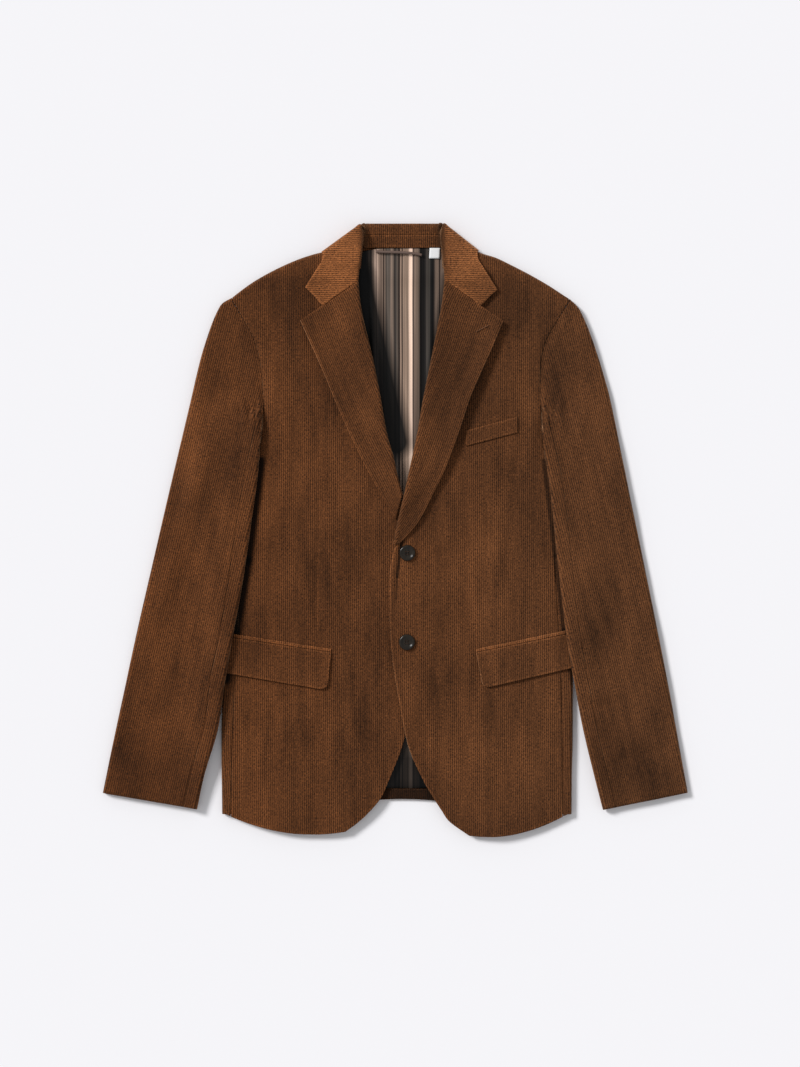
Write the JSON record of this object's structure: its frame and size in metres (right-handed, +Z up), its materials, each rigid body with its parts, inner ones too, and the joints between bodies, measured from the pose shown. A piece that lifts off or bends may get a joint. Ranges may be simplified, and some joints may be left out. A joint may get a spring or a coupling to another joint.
{
  "type": "corduroy jacket",
  "caption": "Single-breasted corduroy blazer, buttoned and laid flat on its back, with notch lapels, flap pockets and a striped lining.",
  "frame": {"origin": "on the surface the jacket rests on, 9 mm to the wearer's right of the centre-back seam, between chest and waist", "axes": "+Z up from the resting surface, +Y from hem to collar, +X to the wearer's left"},
  "size_m": [0.73, 0.7669, 0.024],
  "materials": {
    "corduroy": "matte",
    "lining": "satin",
    "horn": "semi-gloss",
    "tape": "matte"
  },
  "bodies": {
    "root": {"back_left": "corduroy", "back_right": "corduroy", "side_left": "corduroy", "side_right": "corduroy", "front_left": "corduroy", "front_right": "corduroy", "lapel_left": "corduroy", "lapel_right": "corduroy", "collar_fall": "corduroy", "collar_stand": "corduroy", "sleeve_left_top": "corduroy", "sleeve_left_under": "corduroy", "sleeve_right_top": "corduroy", "sleeve_right_under": "corduroy", "flap_left": "corduroy", "flap_right": "corduroy", "jet_left": "corduroy", "jet_right": "corduroy", "breast_welt": "corduroy", "back_hem": "corduroy", "lining_back": "lining", "hanger_loop": "lining", "button_upper": "horn", "button_lower": "horn", "size_label": "tape"}
  },
  "joints": []
}
